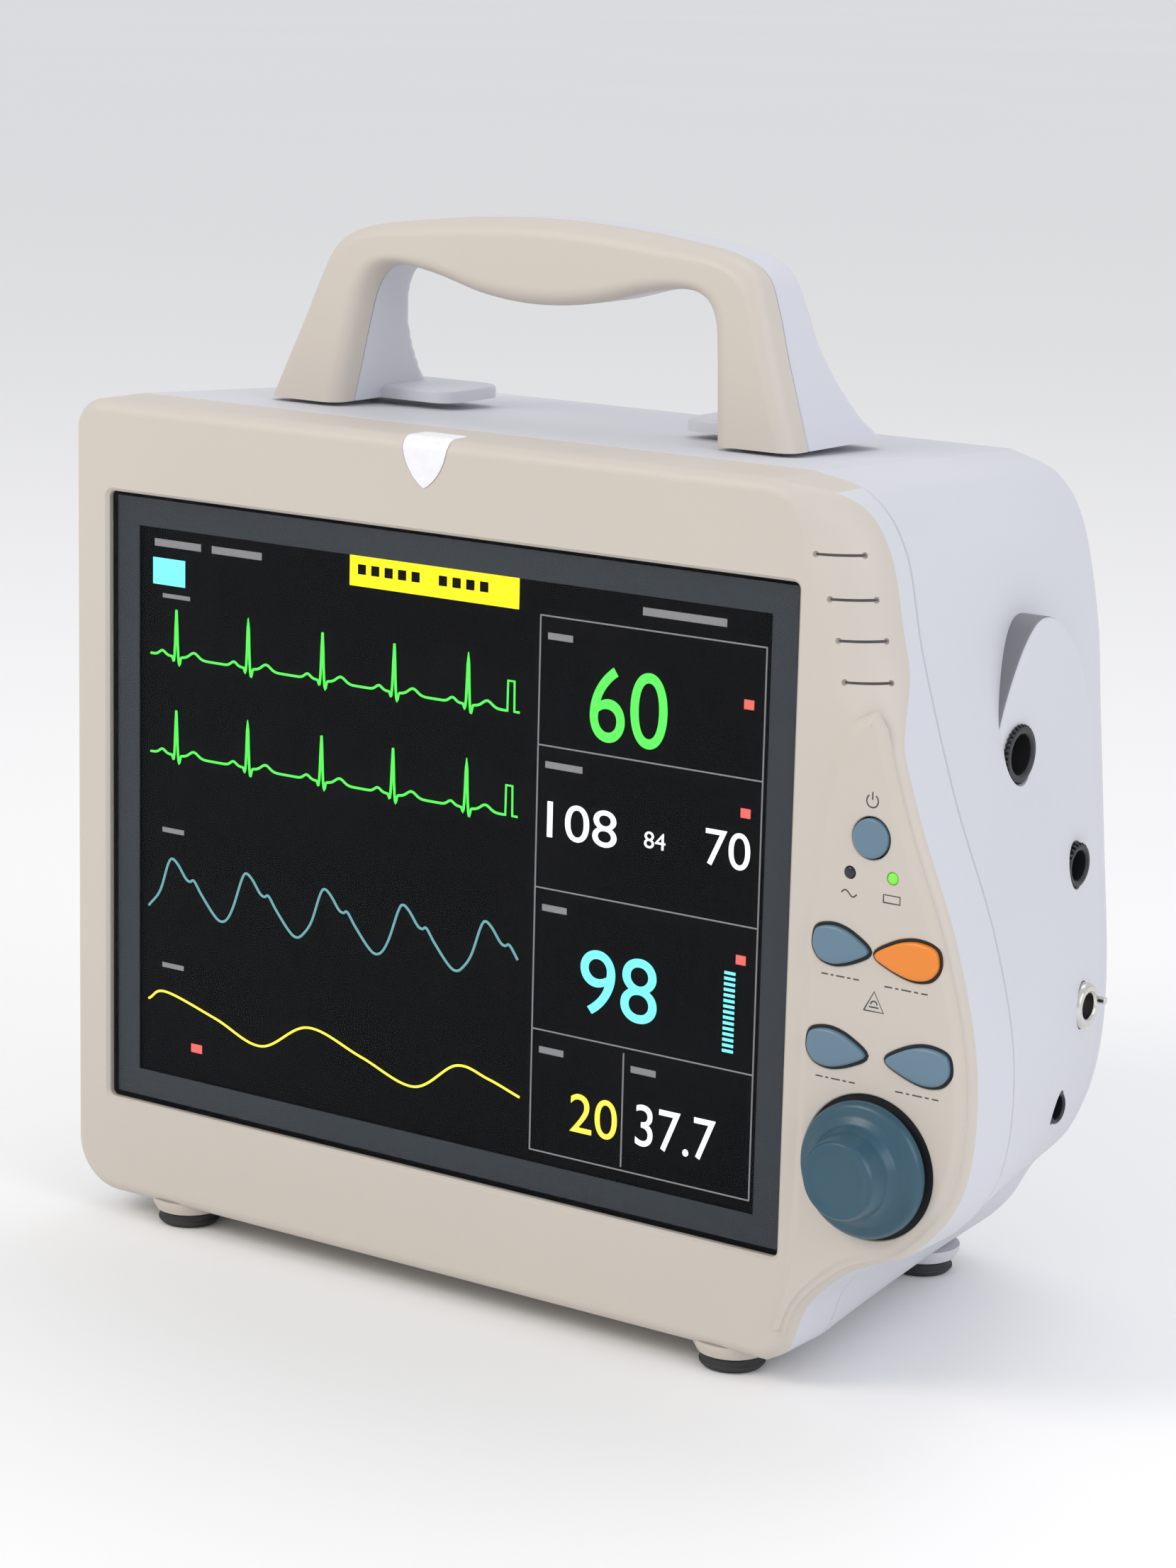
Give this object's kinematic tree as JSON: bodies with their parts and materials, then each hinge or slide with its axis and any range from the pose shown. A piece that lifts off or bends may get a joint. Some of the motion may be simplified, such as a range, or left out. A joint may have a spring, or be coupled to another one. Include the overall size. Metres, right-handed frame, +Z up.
{
  "type": "patient monitor",
  "caption": "Bedside patient monitor with a landscape screen, side control keys, push-and-turn knob, carrying handle and side sockets.",
  "frame": {"origin": "centre of the footprint, on the surface the feet stand on", "axes": "+Z up, the screen faces -Y, +X to the viewer's right"},
  "size_m": [0.3001, 0.152, 0.2953],
  "materials": {
    "housing_beige": "fine matte warm grey",
    "housing_white": "fine matte cool white",
    "key_blue": "satin blue grey",
    "key_orange": "satin orange",
    "knob_teal": "satin teal",
    "window_glass": "clear",
    "mask_slate": "dark slate print",
    "screen_black": "black screen",
    "seal_rubber": "dark silicone",
    "lens_white": "milky lens",
    "led_green": "lit lens",
    "led_dark": "unlit lens",
    "socket_dark": "dark moulding",
    "contact_gold": "plated",
    "port_nickel": "nickel plate",
    "sheet_steel": "plain sheet",
    "board_green": "circuit board",
    "black_plastic": "black moulding",
    "foot_rubber": "dark rubber"
  },
  "bodies": {
    "monitor": {"front_housing": "housing_beige", "rear_housing": "housing_white", "mounting_plate": "sheet_steel", "handle_front": "housing_beige", "handle_rear": "housing_white", "display_window": "window_glass", "window_mask": "mask_slate", "lcd_panel": "screen_black", "lcd_bracket": "sheet_steel", "backlight_inverter": "board_green", "alarm_lens": "lens_white", "alarm_board": "board_green", "key_seal": "seal_rubber", "keypad_board": "board_green", "encoder_body": "black_plastic", "mains_led_lens": "led_dark", "battery_led_lens": "led_green", "ecg_socket": "socket_dark", "ecg_contacts": "contact_gold", "spo2_socket": "socket_dark", "spo2_contacts": "contact_gold", "nibp_port": "port_nickel", "temperature_jack": "socket_dark", "power_inlet": "black_plastic", "inlet_blades": "port_nickel", "network_port": "port_nickel", "ground_post": "port_nickel", "speaker": "black_plastic", "chassis_frame": "sheet_steel", "main_board": "board_green", "parameter_board": "board_green", "power_supply": "sheet_steel", "nibp_pump": "port_nickel", "nibp_valve": "black_plastic", "battery_pack": "black_plastic", "foot_front_left": "foot_rubber", "foot_front_right": "foot_rubber", "foot_rear_left": "foot_rubber", "foot_rear_right": "foot_rubber", "housing_screw_1": "port_nickel", "housing_screw_2": "port_nickel", "housing_screw_3": "port_nickel", "housing_screw_4": "port_nickel", "handle_screw_1": "port_nickel", "handle_screw_2": "port_nickel", "handle_screw_3": "port_nickel", "handle_screw_4": "port_nickel", "plate_screw_1": "port_nickel", "plate_screw_2": "port_nickel", "plate_screw_3": "port_nickel", "plate_screw_4": "port_nickel"},
    "encoder_push": {"encoder_collar": "port_nickel"},
    "knob": {"control_knob": "knob_teal", "encoder_shaft": "port_nickel"},
    "power_button_body": {"power_button": "key_blue"},
    "freeze_key_body": {"freeze_key": "key_blue"},
    "silence_key_body": {"silence_key": "key_orange"},
    "record_key_body": {"record_key": "key_blue"},
    "menu_key_body": {"menu_key": "key_blue"},
    "battery_door_body": {"battery_door": "housing_white"}
  },
  "joints": [
    {"name": "knob_push", "type": "slide", "parent": "monitor", "child": "encoder_push", "axis": [0, 1, 0], "range_m": [0, 0.0007], "stiffness_N_per_m": 4000},
    {"name": "knob_turn", "type": "hinge", "parent": "encoder_push", "child": "knob", "pos_m": [0.1212, -0.0621, 0.067], "axis": [0, -1, 0], "continuous": true},
    {"name": "power_button_press", "type": "slide", "parent": "monitor", "child": "power_button_body", "axis": [0, 1, 0], "range_m": [0, 0.0012], "stiffness_N_per_m": 1500},
    {"name": "freeze_key_press", "type": "slide", "parent": "monitor", "child": "freeze_key_body", "axis": [0, 1, 0], "range_m": [0, 0.0012], "stiffness_N_per_m": 1500},
    {"name": "silence_key_press", "type": "slide", "parent": "monitor", "child": "silence_key_body", "axis": [0, 1, 0], "range_m": [0, 0.0012], "stiffness_N_per_m": 1500},
    {"name": "record_key_press", "type": "slide", "parent": "monitor", "child": "record_key_body", "axis": [0, 1, 0], "range_m": [0, 0.0012], "stiffness_N_per_m": 1500},
    {"name": "menu_key_press", "type": "slide", "parent": "monitor", "child": "menu_key_body", "axis": [0, 1, 0], "range_m": [0, 0.0012], "stiffness_N_per_m": 1500},
    {"name": "battery_door_swing", "type": "hinge", "parent": "monitor", "child": "battery_door_body", "pos_m": [-0.14505, 0.0522, 0.024], "axis": [0, 0, -1], "range_deg": [0, 110]}
  ]
}
